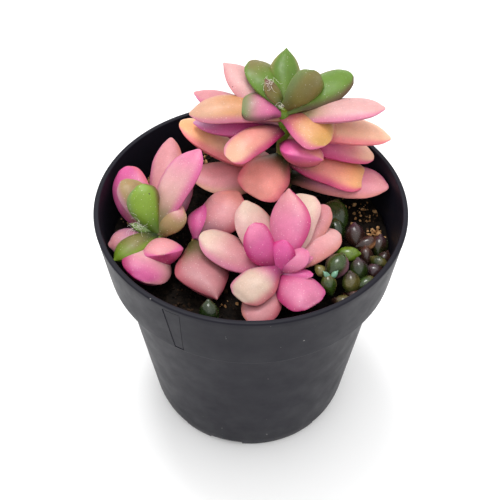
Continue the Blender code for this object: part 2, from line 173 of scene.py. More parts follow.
def noiseAt(tree, place, scale, detail=2.0, roughness=0.5):
    grain = tree.nodes.new("ShaderNodeTexNoise")
    grain.inputs["Scale"].default_value = scale
    grain.inputs["Detail"].default_value = detail
    grain.inputs["Roughness"].default_value = roughness
    tree.links.new(place, grain.inputs["Vector"])
    return grain.outputs["Fac"]


def remap(tree, value, given, wanted):
    ranger = tree.nodes.new("ShaderNodeMapRange")
    for socket, number in zip(("From Min", "From Max", "To Min", "To Max"), (*given, *wanted)):
        ranger.inputs[socket].default_value = number
    tree.links.new(value, ranger.inputs["Value"])
    return ranger.outputs["Result"]


def mixColour(tree, share, first, second, blend="MIX"):
    mixer = tree.nodes.new("ShaderNodeMix")
    mixer.data_type = "RGBA"
    mixer.blend_type = blend
    for socket, value in (("Factor", share), ("A", first), ("B", second)):
        feed(tree, mixer.inputs[socket], value)
    return mixer.outputs["Result"]


def mathNode(tree, operation, first, second):
    step = tree.nodes.new("ShaderNodeMath")
    step.operation = operation
    for socket, value in zip(step.inputs, (first, second)):
        feed(tree, socket, value)
    return step.outputs["Value"]


def specksAt(tree, place, cell, rare, largest, strength):
    # Round specks, one at most in each cell. "rare" is the share of cells without one, and
    # "largest" the radius of the biggest as a share of a cell.
    cells = tree.nodes.new("ShaderNodeTexVoronoi")
    cells.inputs["Scale"].default_value = perMetre(cell)
    tree.links.new(place, cells.inputs["Vector"])
    pick = tree.nodes.new("ShaderNodeSeparateColor")
    tree.links.new(cells.outputs["Color"], pick.inputs["Color"])
    radius = remap(tree, pick.outputs["Red"], (rare, 1.0), (0.0, largest))
    inside = mathNode(tree, "LESS_THAN", cells.outputs["Distance"], radius)
    return mathNode(tree, "MULTIPLY", inside, strength)


def addBump(tree, shader, height, strength, distance):
    bump = tree.nodes.new("ShaderNodeBump")
    bump.inputs["Strength"].default_value = strength
    bump.inputs["Distance"].default_value = distance * toMetres
    tree.links.new(height, bump.inputs["Height"])
    tree.links.new(bump.outputs["Normal"], shader.inputs["Normal"])


# Skin colours as they look in soft daylight (sRGB, 0 to 255)
skinColours = {
    "cream": (243, 210, 190), "peach": (240, 186, 156), "apricot": (234, 166, 114),
    "honey": (228, 172, 98), "salmon": (232, 146, 136), "coral": (226, 106, 124),
    "rose": (230, 152, 158), "blush": (236, 178, 176), "pink": (232, 128, 168),
    "candy": (228, 92, 160), "magenta": (204, 36, 118), "crimson": (158, 18, 78),
    "mauve": (200, 132, 160), "lilac": (216, 150, 190), "plum": (120, 44, 72),
    "maroon": (96, 36, 46), "lime": (132, 164, 40), "fern": (104, 142, 30),
    "moss": (70, 98, 28), "sage": (122, 146, 84), "olive": (134, 124, 62),
    "khaki": (172, 142, 92), "straw": (170, 158, 88), "bottle": (42, 62, 24),
    "ivy": (54, 74, 24), "umber": (74, 46, 38), "chestnut": (112, 66, 50),
    "dusk": (92, 62, 74), "jade": (150, 214, 178),
}
skinDepth = 0.62  # how much darker the skin itself is than it looks in the studio's light


def linearColour(*channels):
    linear = []
    for value in channels:
        value /= 255
        linear.append(value / 12.92 if value <= 0.04045 else ((value + 0.055) / 1.055) ** 2.4)
    return Vector(linear)


palette = {name: linearColour(*value) * skinDepth for name, value in skinColours.items()}

# Leaf skin: colour painted along each leaf, with waxy grain, pale papillae and dark specks
leafSkin = {
    "depth": 1.0, "roughness": (0.37, 0.51), "specular": 0.38,
    "subsurface": 0.12, "subsurfaceRadius": (1.0, 0.35, 0.2), "subsurfaceScale": 2.0,
    "grain": 0.07, "grainSize": 0.3, "mottle": 0.06, "mottleSize": 2.2, "bump": 0.12,
    "papillae": {"cell": 0.55, "rare": 0.1, "largest": 0.24, "strength": 0.22},
    "specks": {"cell": 4.0, "rare": 0.5, "largest": 0.055, "strength": 0.8},
}
beadSkin = {
    "depth": 0.62, "roughness": (0.16, 0.3), "specular": 0.5,
    "subsurface": 0.1, "subsurfaceRadius": (0.6, 0.5, 0.2), "subsurfaceScale": 1.2,
    "grain": 0.16, "grainSize": 0.22, "mottle": 0.22, "mottleSize": 0.9, "bump": 0.1,
    "papillae": {"cell": 0.5, "rare": 0.75, "largest": 0.2, "strength": 0.12},
    "specks": {"cell": 1.3, "rare": 0.35, "largest": 0.05, "strength": 0.75},
}
# Both skins: the sheen's size is a share of the mottle's, the bump's of the grain's
allSkin = {
    "papillaColour": (0.85, 0.72, 0.66), "speckColour": (0.05, 0.02, 0.02),
    "mottleRange": (0.3, 0.7), "grainRange": (0.25, 0.75), "coarse": 0.6,
    "sheenSize": 0.4, "sheenRange": (0.3, 0.7), "bumpSize": 1.4, "bumpHeight": 0.12,
}


def skinMaterial(name, look):
    material, tree, shader = newMaterial(name)
    place = objectPlace(tree)
    tint = tree.nodes.new("ShaderNodeAttribute")
    tint.attribute_name = "tint"
    mottle = noiseAt(tree, place, perMetre(look["mottleSize"]), detail=3)
    mottle = remap(tree, mottle, allSkin["mottleRange"],
                   (look["depth"] * (1 - look["mottle"]), look["depth"] * (1 + look["mottle"])))
    grain = noiseAt(tree, place, perMetre(look["grainSize"]), roughness=allSkin["coarse"])
    grain = remap(tree, grain, allSkin["grainRange"], (1 - look["grain"], 1 + look["grain"]))
    shade = mathNode(tree, "MULTIPLY", mottle, grain)
    skin = mixColour(tree, 1.0, tint.outputs["Color"], shade, "MULTIPLY")
    skin = mixColour(tree, specksAt(tree, place, **look["papillae"]), skin, allSkin["papillaColour"])
    skin = mixColour(tree, specksAt(tree, place, **look["specks"]), skin, allSkin["speckColour"])
    tree.links.new(skin, shader.inputs["Base Color"])
    sheen = noiseAt(tree, place, perMetre(look["mottleSize"] * allSkin["sheenSize"]))
    rough = remap(tree, sheen, allSkin["sheenRange"], look["roughness"])
    tree.links.new(rough, shader.inputs["Roughness"])
    shader.inputs["Subsurface Weight"].default_value = look["subsurface"]
    shader.inputs["Subsurface Radius"].default_value = look["subsurfaceRadius"]
    shader.inputs["Subsurface Scale"].default_value = look["subsurfaceScale"] * toMetres
    shader.inputs["Specular IOR Level"].default_value = look["specular"]
    pores = noiseAt(tree, place, perMetre(look["grainSize"] * allSkin["bumpSize"]),
                    detail=3, roughness=allSkin["coarse"])
    addBump(tree, shader, pores, look["bump"], allSkin["bumpHeight"])
    return material


# How a leaf ends: place of its widest point, and the two powers of the curve from there to its tip
leafEnds = {"round": (0.62, 0.45, 2.6), "square": (0.56, 0.32, 4.2), "spoon": (0.62, 0.62, 2.3),
            "point": (0.60, 0.78, 1.8), "kite": (0.56, 0.88, 1.35), "paddle": (0.72, 0.48, 2.4),
            "bead": (0.52, 0.55, 2.0)}
leafForm = {
    "faces": (40, 40),  # around and along
    "stalk": 0.32, "swell": 1.3,  # width at the root, and how it grows to the widest point
    "upperShare": 0.42, "lens": 1.6, "flankFullness": 2.2, "flankPower": 0.65,  # thickness
    "nib": 0.35, "nibFrom": 0.97,  # little point at the tip
    "wobble": 0.16, "wobbleSize": 5.0, "wobbleFades": (0.2, 0.85),
    "firm": 5,  # leaves thinner than this wobble less
    "seedSteps": (7.3, 3.1, 5.7),
}
# Where each colour takes over: shares of the length, or of the way round the section
leafPaint = {
    "middle": (0.1, 0.56), "end": (0.52, 0.97), "under": (0.0, 0.45), "underStrength": 0.85,
    "edge": (0.6, 0.97), "edgeStarts": (0.02, 0.25), "edgeStrength": 0.85,
    # painted shade at the roots, where the leaves crowd, partly also their own darker base: its strength and
    # how far up it reaches
    "drift": 0.16, "driftSize": 3.2, "paintedRootShade": 0.5, "shadeReach": 0.4,
}
stemForm = {"faces": (20, 24), "scar": 0.07, "scarPace": 2.4, "lump": 0.06, "tint": (0.3, 0.95)}
soilPlace = {"level": 56.0, "radius": 34.3, "stemDepth": 7.5}


def newPart():
    bm = bmesh.new()
    bm.verts.layers.float_color.new("tint")
    return bm


def leafPoint(pose, share, side, up):
    # Where a point goes, from its share of the length and its side and height round the section
    length, width, thickness, arch, bow, tip = *pose[2:5], *pose[6:]
    widest, tipPower, tipFullness = leafEnds[tip]
    if share < widest:
        swell = sin(pi / 2 * share / widest) ** leafForm["swell"]
        spread = leafForm["stalk"] + (1 - leafForm["stalk"]) * swell
    else:
        spread = (1 - ((share - widest) / (1 - widest)) ** tipFullness) ** tipPower
    if share < 0.5:
        depth = 0.5 + 0.5 * sin(pi * share)
    else:
        depth = (1 - (2 * share - 1) ** leafForm["flankFullness"]) ** leafForm["flankPower"]
    upperShare = leafForm["upperShare"] if up > 0 else 1 - leafForm["upperShare"]
    lens = abs(up) ** leafForm["lens"] * (1 if up > 0 else -1)
    nib = leafForm["nib"] * smoothStep(leafForm["nibFrom"], 1.0, share)
    return Vector((share * length + nib,
                   width * (spread * side / 2 + bow * sin(pi * share)),
                   thickness * upperShare * depth * lens + 2 * arch * length * (share * share - share)))


def leafTone(colours, paintedLight, share, side, up, drift):
    base, middle, end, leftEdge, rightEdge, under = (palette[name] for name in colours)
    tone = base.lerp(middle, smoothStep(*leafPaint["middle"], share))
    tone = tone.lerp(end, smoothStep(*leafPaint["end"], share))
    if up < 0:
        tone = tone.lerp(under, leafPaint["underStrength"] * smoothStep(*leafPaint["under"], -up))
    rimNear = smoothStep(*leafPaint["edge"], abs(side)) * smoothStep(*leafPaint["edgeStarts"], share)
    tone = tone.lerp(leftEdge if side > 0 else rightEdge, leafPaint["edgeStrength"] * rimNear)
    tone = tone.lerp(middle, max(0.0, drift)).lerp(end, max(0.0, -drift))
    # Painted shade darkens each leaf towards its root, where the leaves crowd, and stands also for the leaf's
    # own darker base
    shade = leafPaint["paintedRootShade"] * (1 - smoothStep(0.0, leafPaint["shadeReach"], share))
    # The row's scale adds painted light or painted shade to the whole leaf
    return tone * (paintedLight * (1 - shade))


def growLeaf(whole, root, pose, colours, seed, paintedLight=1.0, faces=leafForm["faces"]):
    # One closed leaf: a sphere drawn out along X, flattened to a lens, bent, painted and turned into place
    heading, rise, _, _, thickness, roll = pose[:6]
    bm = newPart()
    tintLayer = bm.verts.layers.float_color["tint"]
    shift = Vector([seed * step for step in leafForm["seedSteps"]])
    fadeIn, fadeOut = leafForm["wobbleFades"]
    firm = min(1.0, thickness / leafForm["firm"])
    turn = (Matrix.Translation(root) @ Matrix.Rotation(radians(heading), 4, "Z")
            @ Matrix.Rotation(radians(-rise), 4, "Y") @ Matrix.Rotation(radians(roll), 4, "X"))
    for vert in bmesh.ops.create_uvsphere(bm, u_segments=faces[0], v_segments=faces[1], radius=1)["verts"]:
        share = min(1.0, max(0.0, (1 - vert.co.z) / 2))
        angle = atan2(-vert.co.y, vert.co.x)
        atPole = abs(vert.co.z) > 0.9999
        side, up = (0.0, 0.0) if atPole else (cos(angle), sin(angle))
        place = leafPoint(pose, share, side, up)
        dent = noise.noise_vector(place / leafForm["wobbleSize"] + shift)
        fade = smoothStep(0.0, fadeIn, share) * smoothStep(1.0, fadeOut, share)
        vert.co = turn @ (place + dent * leafForm["wobble"] * firm * fade)
        drift = noise.noise(place / leafPaint["driftSize"] - shift) * leafPaint["drift"]
        vert[tintLayer] = (*leafTone(colours, paintedLight, share, side, up, drift), 1.0)
    gather(whole, bm)


def growStem(whole, foot, top, footRadius, topRadius, colours, faces=stemForm["faces"]):
    # A round stem with low leaf scars, closed at both ends
    bm = newPart()
    foot, top = Vector(foot), Vector(top)
    low, high = (palette[name] for name in colours)
    tintLayer = bm.verts.layers.float_color["tint"]
    bmesh.ops.create_cone(bm, cap_ends=True, segments=faces[0], radius1=footRadius,
                          radius2=topRadius, depth=1)
    upright = [edge for edge in bm.edges if abs(edge.verts[0].co.z - edge.verts[1].co.z) > 0.5]
    bmesh.ops.subdivide_edges(bm, edges=upright, cuts=faces[1])
    tall = (top - foot).length
    for vert in bm.verts:
        share = vert.co.z + 0.5
        lump = noise.noise(Vector((vert.co.x, vert.co.y, share * tall)))
        swell = 1 + stemForm["scar"] * sin(share * tall * stemForm["scarPace"]) + stemForm["lump"] * lump
        vert.co.x *= swell
        vert.co.y *= swell
        vert.co.z *= tall
        vert[tintLayer] = (*low.lerp(high, smoothStep(*stemForm["tint"], share)), 1.0)
    turn = (top - foot).to_track_quat("Z", "Y").to_matrix().to_4x4()
    bm.transform(Matrix.Translation((foot + top) / 2) @ turn)
    gather(whole, bm)


def stemPoint(stem, height):
    (footX, footY), (topX, topY, topZ) = stem["foot"], stem["top"]
    share = (height - soilPlace["level"]) / (topZ - soilPlace["level"])
    return Vector((footX + (topX - footX) * share, footY + (topY - footY) * share, height))


def finishPlant(bm, name, material, node):
    piece = finishPiece(bm, name)
    piece.data.materials.append(material)
    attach(piece, "root")
    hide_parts(node)


def growPlant(name, plant, material, node):
    bm = newPart()
    stem = plant["stem"]
    growStem(bm, stemPoint(stem, stem["from"]), stem["top"], *stem["radii"], stem["colours"])
    for number, row in enumerate(plant["leaves"]):
        growLeaf(bm, stemPoint(stem, row[0]), row[1:10], row[10:], number + plant["seed"],
                 plant["paintedLight"].get(number + 1, 1.0))
    finishPlant(bm, name, material, node)
    print(name, "grown:", len(plant["leaves"]), "leaves")


# Leaf rows: root height, heading, rise, length, width, thickness, roll, arch, bow, tip,
# then colours: root, middle, tip, left edge, right edge, underside. Headings turn from +X.
# The per-row scale makes rows, counted from 1, that many times as light as their colours: painted light on
# leaves that lie in shade under others, painted shade on a few lit ones.
backPlant = {
    "seed": 1,
    "paintedLight": {3: 0.9, 5: 1.1, 6: 1.4, 7: 1.1, 8: 1.5,
              10: 1.15, 12: 1.45, 13: 1.3, 14: 1.55, 15: 1.3, 16: 1.4},
    "stem": {"foot": (8.5, 18.5), "top": (8.1, 18.1, 79.7), "from": 48.5, "radii": (2.3, 1.8),
             "colours": ("khaki", "fern")},
    "leaves": [
        (78.5, 141, 22, 20.8, 10, 4.5, 0, -0.03, 0, "point",
         "rose", "blush", "blush", "rose", "pink", "pink"),
        (77.5, 159, 6, 24, 8.5, 5, 5, 0, 0, "spoon", "rose", "rose", "rose", "pink", "rose", "pink"),
        (79.2, -178, 4, 23, 9.2, 5, -10, -0.08, -0.16, "spoon",
         "apricot", "apricot", "peach", "pink", "salmon", "coral"),
        (75.5, 174, 0, 22.5, 8, 4.5, 0, 0, 0, "spoon",
         "magenta", "candy", "lilac", "candy", "candy", "magenta"),
        (75, 174, -2, 16, 8, 4.5, -10, 0, 0, "spoon",
         "crimson", "crimson", "magenta", "crimson", "crimson", "plum"),
        (62, 172, 24, 29, 12, 6, 5, 0, 0.05, "round", "rose", "peach", "apricot", "coral", "peach", "coral"),
        (75.5, -138, 2, 17.8, 8.5, 5.5, -5, -0.08, -0.12, "square",
         "plum", "salmon", "peach", "magenta", "pink", "coral"),
        (66.5, -121, -6, 15, 12.4, 7, -12, 0, -0.04, "square",
         "ivy", "salmon", "salmon", "coral", "coral", "coral"),
        (79.6, -40, -6, 13, 12.5, 5.5, 0, 0, 0.12, "round",
         "coral", "apricot", "honey", "salmon", "candy", "candy"),
        (71, -49, 15, 14, 12, 6, -25, 0.02, -0.05, "kite",
         "magenta", "candy", "salmon", "pink", "candy", "coral"),
        (78, -8, 16, 24.5, 10, 4.5, -5, -0.06, 0.08, "spoon",
         "straw", "blush", "blush", "blush", "pink", "lilac"),
        (73.5, -8, 5, 26, 10, 5.5, 0, -0.11, 0.11, "spoon",
         "peach", "peach", "peach", "blush", "coral", "pink"),
        (70.5, -6, -5, 22.5, 10, 5, 0, -0.1, 0.1, "round",
         "magenta", "pink", "peach", "peach", "magenta", "magenta"),
        (66, -22, -2, 21.5, 10.8, 6, 5, 0, 0.1, "square",
         "ivy", "salmon", "apricot", "peach", "magenta", "magenta"),
        (59.5, -22, 12, 28, 11, 5.5, 10, 0, 0.08, "spoon",
         "bottle", "pink", "rose", "pink", "salmon", "plum"),
        (61, -166, 8, 24.5, 11, 5, -10, 0.05, 0.05, "spoon",
         "salmon", "rose", "rose", "peach", "salmon", "coral"),
    ],
}

backCrown = {
    "seed": 31,
    "paintedLight": {1: 0.85, 2: 0.95},
    "stem": {"foot": (8.1, 18.1), "top": (8.0, 18.0, 83.0), "from": 79.9, "radii": (1.7, 1.2),
             "colours": ("fern", "lime")},
    "leaves": [
        (82, 88, 27, 16, 7.8, 5, 5, 0.05, 0.03, "point", "lime", "fern", "fern", "straw", "straw", "moss"),
        (82, 124, 22, 15, 10, 5, 15, 0, 0, "round", "fern", "fern", "olive", "fern", "straw", "moss"),
        (82, 146, 47, 8.3, 4.2, 3.5, 0, 0.05, 0, "spoon",
         "moss", "olive", "chestnut", "olive", "olive", "olive"),
        (82.5, 23, 44, 11.2, 11, 5, -85, 0.05, 0, "paddle",
         "lime", "olive", "olive", "fern", "sage", "olive"),
        (81.3, 29, 14, 19, 10.5, 5.5, 0, 0.04, 0, "round", "lime", "fern", "fern", "olive", "maroon", "plum"),
        (80.9, -178, 8, 10.8, 8.4, 4.5, -20, 0, -0.12, "round",
         "candy", "pink", "sage", "maroon", "sage", "maroon"),
    ],
}

frontPlant = {
    "seed": 51,
    "paintedLight": {1: 0.9, 2: 0.92, 3: 0.88, 4: 1.05, 8: 1.1, 9: 1.1},
    "stem": {"foot": (6.2, -17.0), "top": (6.2, -17.0, 62.5), "from": 48.6, "radii": (2.1, 1.5),
             "colours": ("khaki", "straw")},
    "leaves": [
        (61, 115, 24, 19.5, 10.5, 5.5, 15, 0.04, 0, "spoon",
         "rose", "blush", "cream", "blush", "salmon", "rose"),
        (61.5, 155, 12, 20, 10, 5.5, 3, 0.05, 0.04, "round",
         "magenta", "rose", "cream", "pink", "rose", "coral"),
        (63.2, -136, -3, 12, 9.8, 6.2, 0, 0, 0, "square",
         "candy", "cream", "cream", "coral", "pink", "salmon"),
        (62.5, 140, 52, 12.5, 7.5, 4.5, -20, 0.03, 0.1, "round",
         "crimson", "candy", "pink", "magenta", "magenta", "magenta"),
        (63, 81, 28, 19.5, 10.5, 4.5, -20, 0.08, -0.12, "point",
         "candy", "pink", "rose", "pink", "magenta", "candy"),
        (62, 68, 22, 20.5, 10, 5, -10, 0.02, 0, "square",
         "blush", "cream", "cream", "cream", "blush", "blush"),
        (61.5, 55, 14, 21.5, 8, 5, 0, 0, 0, "round", "rose", "rose", "rose", "rose", "salmon", "coral"),
        (62, 38, 5, 18.5, 9.5, 5.5, 0, 0, 0.05, "round", "mauve", "rose", "blush", "rose", "salmon", "plum"),
        (58.7, 60, 74, 11.2, 6.6, 5, 10, 0, 0, "round",
         "magenta", "candy", "candy", "magenta", "magenta", "candy"),
        (62.6, 16, 28, 8.2, 6.5, 4.5, 0, 0, 0, "round", "candy", "pink", "pink", "lilac", "pink", "candy"),
        (62.5, 12, 18, 8.5, 3, 3, 0, 0, 0, "round", "straw", "pink", "pink", "pink", "pink", "pink"),
        (60.6, -52, 9, 13, 10.5, 6, 0, 0.05, 0.05, "square",
         "magenta", "pink", "pink", "candy", "magenta", "crimson"),
        (60.3, -114, -3, 14.5, 9, 5.5, 0, 0.04, 0, "spoon",
         "plum", "rose", "rose", "coral", "salmon", "coral"),
        (61.6, -16, 14, 8.4, 3.6, 3, 0, 0, 0, "round", "lilac", "candy", "candy", "candy", "pink", "lilac"),
    ],
}

leftPlant = {
    "seed": 71,
    "paintedLight": {2: 1.05, 10: 1.1},
    "stem": {"foot": (-22.3, -5.8), "top": (-22.3, -5.8, 63.0), "from": 48.6, "radii": (1.9, 1.3),
             "colours": ("khaki", "fern")},
    "leaves": [
        (61, 86, 19, 28, 8.4, 5, -10, 0, 0, "spoon", "pink", "rose", "rose", "pink", "salmon", "pink"),
        (62.5, 55, 40, 22.5, 10, 5.5, -10, 0, 0.2, "spoon",
         "olive", "blush", "pink", "candy", "candy", "candy"),
        (62, 119, 17, 20.5, 10, 5, -30, 0, 0.1, "round", "khaki", "pink", "candy", "candy", "coral", "candy"),
        (62.5, 129, 30, 15.5, 8, 4.5, 0, 0.02, -0.05, "round",
         "olive", "khaki", "khaki", "mauve", "straw", "khaki"),
        (63, 118, 46, 12, 8, 4.5, -10, 0, 0.1, "paddle", "fern", "lime", "lime", "sage", "chestnut", "fern"),
        (62, 42, 35, 9, 8, 5.5, 0, 0, 0, "round", "olive", "khaki", "rose", "rose", "khaki", "rose"),
        (63, 168, 15, 6.5, 3, 2.2, 0, 0, 0, "spoon", "sage", "sage", "sage", "fern", "sage", "fern"),
        (62.5, -137, 2, 12.8, 7, 4.5, 10, -0.1, -0.08, "point",
         "ivy", "olive", "lime", "lime", "lime", "fern"),
        (61.2, -164, 5, 11.7, 8, 5, -15, 0, 0, "spoon", "khaki", "mauve", "rose", "mauve", "mauve", "plum"),
        (58.4, -78, 36, 10.5, 10.6, 7, 0, 0, 0, "round",
         "apricot", "rose", "rose", "candy", "candy", "magenta"),
        (59, -102, 13, 14.8, 12, 7.2, -20, 0, 0, "round",
         "lilac", "blush", "candy", "rose", "magenta", "magenta"),
        (60, 68, 27, 18.5, 7.5, 5, 5, 0, 0, "spoon", "plum", "mauve", "mauve", "mauve", "plum", "plum"),
    ],
}

sideShoot = {
    "seed": 91,
    "paintedLight": {2: 0.75},
    "stem": {"foot": (-13.0, -6.0), "top": (-13.0, -6.0, 61.0), "from": 48.6, "radii": (1.7, 1.3),
             "colours": ("khaki", "khaki")},
    "leaves": [
        (60.5, 50, 20, 16, 12, 6, 0, 0.04, -0.05, "spoon",
         "plum", "rose", "salmon", "rose", "coral", "coral"),
        (60, -73, 1, 18.5, 13, 6, -10, 0, -0.1, "kite", "olive", "rose", "rose", "coral", "coral", "coral"),
        (61, 80, 20, 9.5, 6.5, 4.5, 15, 0, 0, "kite",
         "candy", "candy", "candy", "pink", "magenta", "magenta"),
    ],
}

# Creeping shoots: a thin stem on the soil with glossy bead leaves on short stalks.
# Bead rows: centre, heading, rise, length, width, thickness, then colours as for the leaves.
greenShoot = {
    "seed": 3,
    "path": [(16.5, -2.5), (19.0, -8.0), (19.0, -13.5), (16.5, -19.0)], "root": (19.0, -8.0),
    "stemColours": ("ivy", "olive"),
    "beads": [
        ((20.0, 1.5, 60.5), 75, 8, 13, 8, 4.4, "bottle", "bottle", "ivy", "ivy", "ivy", "bottle"),
        ((21.0, -2.5, 60.5), 100, 35, 6.5, 4.6, 4.2, "bottle", "bottle", "ivy", "bottle", "bottle", "bottle"),
        ((22.8, -10.8, 61.6), -8, 12, 6.2, 4.4, 4, "fern", "lime", "lime", "lime", "lime", "moss"),
        ((20.0, -15.5, 62.4), 60, 25, 6.8, 5.6, 4.8, "ivy", "moss", "moss", "dusk", "mauve", "bottle"),
        ((18.1, -20.2, 61.4), 104, 35, 5.2, 3.8, 3.6, "moss", "moss", "olive", "moss", "straw", "ivy"),
        ((16.6, -15.6, 60.8), 140, 25, 3.8, 3, 2.6, "moss", "straw", "straw", "straw", "moss", "moss"),
        ((17.7, -18.8, 63.0), 150, 35, 2.3, 1.5, 1.2, "jade", "jade", "jade", "jade", "jade", "jade"),
        ((19.2, -18.6, 63.0), 35, 35, 2.2, 1.5, 1.2, "jade", "jade", "jade", "jade", "jade", "jade"),
    ],
}
brownShoot = {
    "seed": 5,
    "path": [(24.0, -2.5), (27.0, -6.5), (27.5, -11.0), (26.0, -16.0), (21.5, -21.5)],
    "root": (27.5, -11.0),
    "stemColours": ("umber", "chestnut"),
    "beads": [
        ((25.4, -4.3, 60.8), 95, 38, 6.4, 4.8, 4.2, "umber", "umber", "dusk", "umber", "umber", "umber"),
        ((27.8, -6.6, 60.8), 22, 15, 5.6, 4, 3.6,
         "umber", "umber", "chestnut", "chestnut", "apricot", "umber"),
        ((31.0, -6.9, 60.3), 80, 30, 5.4, 4.3, 4, "ivy", "umber", "dusk", "umber", "ivy", "bottle"),
        ((27.6, -10.0, 60.0), 95, 35, 4.8, 3.6, 3.4, "umber", "umber", "chestnut", "umber", "umber", "umber"),
        ((30.2, -12.2, 60.6), -40, 10, 4.6, 3.4, 3.2, "olive", "ivy", "olive", "sage", "ivy", "bottle"),
        ((31.7, -10.9, 60.0), 60, 25, 4.2, 3.3, 3.1, "umber", "umber", "umber", "umber", "umber", "umber"),
        ((25.4, -16.0, 61.4), 100, 40, 6.0, 4.6, 4.4, "ivy", "ivy", "dusk", "ivy", "dusk", "ivy"),
        ((28.9, -14.8, 60.3), -15, 12, 4.8, 4, 3.8, "umber", "dusk", "umber", "umber", "umber", "umber"),
        ((23.4, -19.6, 60.8), 100, 38, 6.0, 4.5, 4.3, "ivy", "olive", "umber", "ivy", "olive", "ivy"),
        ((26.8, -19.0, 60.4), 30, 10, 5.2, 4.2, 3.8, "moss", "moss", "olive", "moss", "ivy", "ivy"),
        ((21.2, -24.1, 60.0), -15, 12, 5.2, 3.8, 3.6, "umber", "olive", "umber", "umber", "umber", "umber"),
        ((24.0, -22.2, 59.9), -10, 15, 3.8, 3, 3.2, "umber", "chestnut", "umber", "umber", "umber", "umber"),
    ],
}
frontShoot = {
    "seed": 7,
    "path": [(-8.0, -26.8), (-10.0, -28.0)], "root": (-8.0, -26.8),
    "stemColours": ("umber", "olive"),
    "beads": [
        ((-9.2, -28.4, 60.4), 95, 45, 6.4, 4.6, 4.2, "bottle", "bottle", "ivy", "bottle", "bottle", "bottle"),
    ],
}
creeper = {
    "stemRadius": 0.75, "stemHeight": 58.0, "overlap": 0.4,
    "stalkRadius": 0.65, "stalkTaper": 0.8, "stalkReach": 0.25,
    "rootFaces": (14, 6), "runFaces": (14, 8), "stalkFaces": (10, 3), "beadFaces": (28, 26),
}


def nearestOnPath(point, path):
    spots = []
    for start, end in zip(path, path[1:]):
        run = end - start
        share = max(0.0, min(1.0, (point - start).dot(run) / run.length_squared))
        spots.append(start + run * share)
    return min(spots, key=lambda spot: (spot - point).length)


def growShoot(name, shoot, material, node):
    bm = newPart()
    radius, stalk, colours = creeper["stemRadius"], creeper["stalkRadius"], shoot["stemColours"]
    path = [Vector((x, y, creeper["stemHeight"])) for x, y in shoot["path"]]
    rootTop = Vector((*shoot["root"], creeper["stemHeight"]))
    rootFoot = Vector((*shoot["root"], soilPlace["level"] - soilPlace["stemDepth"]))
    growStem(bm, rootFoot, rootTop, radius, radius, colours, creeper["rootFaces"])
    for start, end in zip(path, path[1:]):
        reach = (end - start).normalized() * radius * creeper["overlap"]
        growStem(bm, start - reach, end + reach, radius, radius, colours, creeper["runFaces"])
    for number, row in enumerate(shoot["beads"]):
        centre, heading, rise, length, width, thickness = row[:6]
        centre = Vector(centre)
        aim = Vector((cos(radians(rise)) * cos(radians(heading)),
                      cos(radians(rise)) * sin(radians(heading)), sin(radians(rise))))
        growStem(bm, nearestOnPath(centre, path), centre - aim * length * creeper["stalkReach"], stalk,
                 stalk * creeper["stalkTaper"], colours, creeper["stalkFaces"])
        growLeaf(bm, centre - aim * length / 2, (heading, rise, length, width, thickness, 0, 0, 0, "bead"),
                 row[6:], number + shoot["seed"], faces=creeper["beadFaces"])
    finishPlant(bm, name, material, node)
    print(name, "grown:", len(shoot["beads"]), "bead leaves")


# Curly white hairs at the growing tips
hairs = {
    "thickness": 0.035, "steps": 14, "lift": (0.1, 0.9), "turns": (0.4, 1.1), "curls": (0.5, 1.1),
    "lengths": (0.5, 1.2), "scatter": 0.5, "opening": 0.6, "taper": 0.5,
    "dark": (0.62, 0.58, 0.46), "light": (0.85, 0.83, 0.76), "fleckScale": 900,
    "roughness": 0.5, "subsurface": 0.1,
    "tufts": [
        # centre, reach, how many, curl radius, seed
        ((4.6, 20.5, 87.5), 2.2, 12, 1.3, 4),
        ((-26.8, -4.8, 64.3), 3.6, 22, 1.2, 8),
        ((7.5, 17.0, 83.5), 1.4, 8, 0.7, 12),
        ((6.0, -16.5, 63.5), 1.6, 8, 0.6, 16),
    ],
}


def curlHair(strands, chance, centre, reach, curl):
    # One strand: a helix that opens and thins towards its end
    start = Vector(centre) + Vector([chance.uniform(-reach, reach) * hairs["scatter"] for _ in range(3)])
    aim = Vector((chance.uniform(-1, 1), chance.uniform(-1, 1), chance.uniform(*hairs["lift"])))
    aim.normalize()
    cross = aim.orthogonal().normalized()
    other = aim.cross(cross)
    turns, phase = chance.uniform(*hairs["turns"]), chance.uniform(0, 2 * pi)
    size = curl * chance.uniform(*hairs["curls"])
    tall = reach * chance.uniform(*hairs["lengths"])
    spline = strands.splines.new("POLY")
    spline.points.add(hairs["steps"] - 1)
    for step, point in enumerate(spline.points):
        share = step / (hairs["steps"] - 1)
        angle = phase + turns * 2 * pi * share
        away = (cross * cos(angle) + other * sin(angle)) * size * share ** hairs["opening"]
        spot = start + aim * tall * share + away
        point.co = (*(spot * toMetres), 1)
        point.radius = 1.0 - hairs["taper"] * share


def curlHairs(material):
    strands = bpy.data.curves.new("axilHairs", "CURVE")
    strands.dimensions = "3D"
    strands.bevel_depth = hairs["thickness"] * toMetres
    strands.bevel_resolution = 1
    strands.use_fill_caps = True
    for centre, reach, count, curl, seed in hairs["tufts"]:
        chance = random.Random(seed)
        for _ in range(count):
            curlHair(strands, chance, centre, reach, curl)
    piece = bpy.data.objects.new("axilHairs", strands)
    bpy.context.scene.collection.objects.link(piece)
    piece.data.materials.append(material)
    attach(piece, "root")
    print("axil hairs curled")


def hairMaterial():
    material, tree, shader = newMaterial("paleHair")
    fleck = noiseAt(tree, objectPlace(tree), hairs["fleckScale"])
    tree.links.new(mixColour(tree, fleck, hairs["dark"], hairs["light"]), shader.inputs["Base Color"])
    shader.inputs["Roughness"].default_value = hairs["roughness"]
    shader.inputs["Subsurface Weight"].default_value = hairs["subsurface"]
    return material


